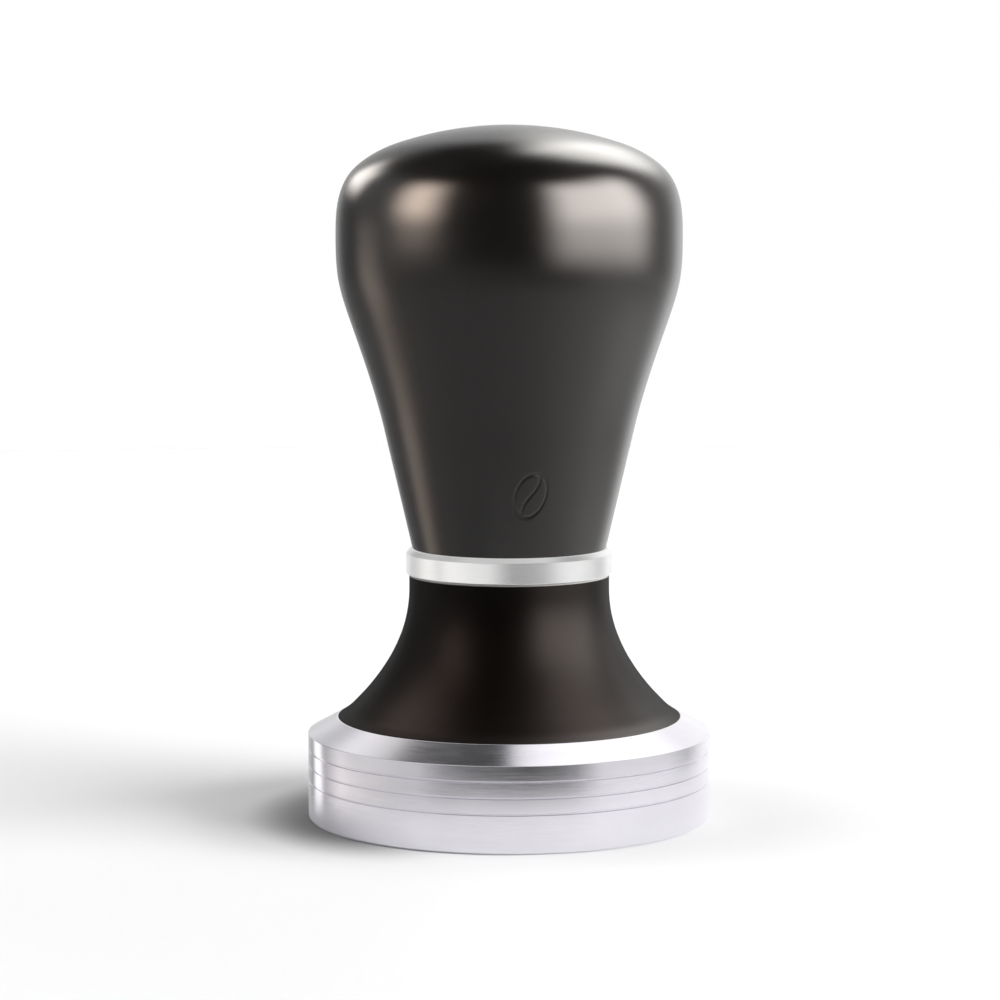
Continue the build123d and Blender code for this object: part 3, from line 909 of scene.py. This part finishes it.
# Columns: name, azimuth edges and elevation edges at half brightness (degrees),
# widths of the left, right, bottom and top fades (degrees), strength, colour,
# sphere radius (m), and for the reflections the pieces that show them.
REFLECTIONS = [
    # in the dark anodised pieces
    ("right", (30.5, 97.5), (0, 42), (26, 28, 24, 24), 14.5, (1.045, 0.995, 0.955), 5.00, dark),
    ("right_low", (92, 112), (-4, 16), (8, 16, 16, 20), 0.8, (1.0, 0.98, 0.95), 5.15, dark),
    ("left", (-77, -50.4), (5.6, 39.2), (28, 26, 16, 24), 13.9, (1.16, 0.965, 0.82), 5.30, grip),
    ("back_left", (-151, -126), (14.5, 34), (14, 12, 12, 11), 6.6, (1.06, 1.0, 0.95), 5.45, grip),
    ("back_right", (135, 173), (29, 61.5), (34, 16, 30, 18), 6.4, (1.002, 0.985, 0.95), 5.60,
     dark),
    ("grip_right", (140, 157), (-15, 7), (12, 12, 10, 10), 0.30, WHITE, 5.62, grip),
    ("grip_streak", (-117, -97), (-26, 1), (10, 12, 14, 10), 1.0, (1.18, 0.98, 0.82), 5.68, grip),
    ("neck_left", (-78, -50), (14, 50), (24, 24, 20, 20), 4.6, (1.2, 0.94, 0.84), 5.75, neck),
    ("neck_back_high", (-138, -86), (38, 64), (24, 24, 14, 16), 4.2, (1.2, 0.95, 0.87), 5.90,
     neck),
    ("neck_right", (106, 132), (4, 42), (18, 14, 16, 16), 1.8, (1.04, 0.98, 0.96), 5.97, neck),
    ("neck_high", (52, 150), (46, 70), (30, 30, 14, 14), 7.5, (1.1, 0.97, 0.93), 6.02, neck),
    # in the bright turned pieces
    ("bevel", (112, 179.5), (38, 80), (16, 8, 24, 14), 0.85, WHITE, 6.10, bright),
    ("bevel_front", (-75, 60), (32, 72), (30, 30, 20, 20), 0.9, WHITE, 6.15, bright),
    ("wall_left", (-136, -104), (-30, 2), (10, 16, 10, 10), 0.24, (1.02, 0.98, 0.97), 6.24,
     bright),
    ("wall_glint", (-147, -134), (-28, 12), (8, 8, 10, 16), 0.98, WHITE, 6.20, bright),
    ("bevel_left", (-176, -128), (31, 50.5), (14, 20, 14, 5), 0.62, (1.0, 0.98, 0.97), 6.28,
     bright),
    ("bevel_far_left", (-179, -160), (6, 18), (2, 8, 8, 8), 0.16, WHITE, 6.31, bright),
    ("ring_top", (-180, 180), (60, 95), (0.1, 0.1, 12, 1), 0.64, WHITE, 6.35, band),
    ("ring_top_left", (-150, -62), (26, 60), (20, 24, 14, 10), 0.32, WHITE, 6.42, band),
    ("ring_middle", (-80, -10), (-26, 13), (24, 26, 12, 12), 0.47, (1.0, 0.995, 0.99), 6.58,
     band),
    ("ring_left", (-166, -92), (-14, 10), (16, 16, 10, 10), 0.45, (1.0, 0.99, 0.985), 6.50, band),
    ("ring_front", (-40, 40), (-20, 10), (30, 30, 10, 10), 0.20, WHITE, 6.65, band),
]
FLOOR_LIGHTS = [
    ("key_right", (50, 102), (15, 31), (20, 18, 10, 10), 18.9, WHITE, 6.80),
    ("fill_right", (30, 70), (45, 67), (10, 10, 10, 10), 2.4, WHITE, 6.95),
    ("fill_back_right", (110, 180), (30, 46), (10, 10, 8, 8), 4.0, WHITE, 7.10),
    ("fill_top", (-180, 180), (72, 95), (0.1, 0.1, 8, 1), 1.80, WHITE, 7.25),
    ("fill_left", (-130, -66), (15, 38), (8, 8, 8, 8), 2.4, WHITE, 7.40),
]


def direction(azimuth, elevation):
    azimuth, elevation = math.radians(azimuth), math.radians(elevation)
    return Vector((math.sin(azimuth) * math.cos(elevation),
                   -math.cos(azimuth) * math.cos(elevation),
                   math.sin(elevation)))


def fade(distance, width):
    t = min(max(distance / width + 0.5, 0.0), 1.0)
    return t * t * (3 - 2 * t)


def panel_material(name, strength, colour):
    material, nodes = new_material(name)
    fall = nodes.node("ShaderNodeAttribute", attribute_name="fall").outputs["Fac"]
    glow = nodes.out("ShaderNodeEmission", {
        "Color": colour + (1,), "Strength": nodes.math("MULTIPLY", fall, strength)})
    clear = nodes.out("ShaderNodeBsdfTransparent")
    nodes.finish(nodes.out("ShaderNodeAddShader", {0: glow, 1: clear}))
    return material


def softbox(name, azimuths, elevations, feather, strength, colour, radius, shown_in=None):
    """A soft panel of light on a sphere round the object: a reflection in the
    shown_in pieces, or a diffuse light where none are given."""
    left, right, bottom, top = feather
    az_start, az_end = azimuths[0] - left / 2, azimuths[1] + right / 2
    el_start = max(elevations[0] - bottom / 2, -60.0)
    el_end = min(elevations[1] + top / 2, 90.0)
    columns = max(10, int((az_end - az_start) / 3.5))
    rows = max(8, int((el_end - el_start) / 3.0))
    verts, faces, fall = [], [], []
    for i in range(rows + 1):
        el = el_start + (el_end - el_start) * i / rows
        for j in range(columns + 1):
            az = az_start + (az_end - az_start) * j / columns
            verts.append(tuple(direction(az, el) * radius + SPHERE_CENTRE))
            fall.append(fade(az - azimuths[0], left) * fade(azimuths[1] - az, right)
                        * fade(el - elevations[0], bottom) * fade(elevations[1] - el, top))
    for i in range(rows):
        for j in range(columns):
            a = i * (columns + 1) + j
            faces.append((a, a + columns + 1, a + columns + 2, a + 1))
    mesh = bpy.data.meshes.new(name)
    mesh.from_pydata(verts, [], faces)
    mesh.attributes.new("fall", "FLOAT", "POINT").data.foreach_set("value", fall)
    obj = link_object(name, mesh)
    material = panel_material(name + "_light", strength, colour)
    mesh.materials.append(material)
    glossy = shown_in is not None
    material.cycles.emission_sampling = "NONE" if glossy else "AUTO"
    obj.visible_camera = False
    obj.visible_shadow = False
    obj.visible_diffuse = not glossy
    obj.visible_glossy = glossy
    if glossy:
        obj.light_linking.receiver_collection = shown_in


for panel_name, *settings in REFLECTIONS:
    softbox("softbox_" + panel_name, *settings)
for settings in FLOOR_LIGHTS:
    softbox(*settings)

# --------------------------------------------------------------------------
# camera: in front, looking slightly down
# --------------------------------------------------------------------------
CAMERA_PLACE = (0.0, -0.430998, 0.087145)
CAMERA_DOWN = 5.4617  # degrees below level

camera_data = bpy.data.cameras.new("camera")
camera = link_object("camera", camera_data)
camera.location = CAMERA_PLACE
camera.rotation_euler = (math.radians(90.0 - CAMERA_DOWN), 0.0, 0.0)
camera_data.sensor_width = 36.0
camera_data.lens = 107.607
camera_data.shift_x = -0.00917
camera_data.clip_start, camera_data.clip_end = 0.01, 20.0
bpy.context.scene.camera = camera

bpy.context.scene.view_settings.view_transform = "Standard"
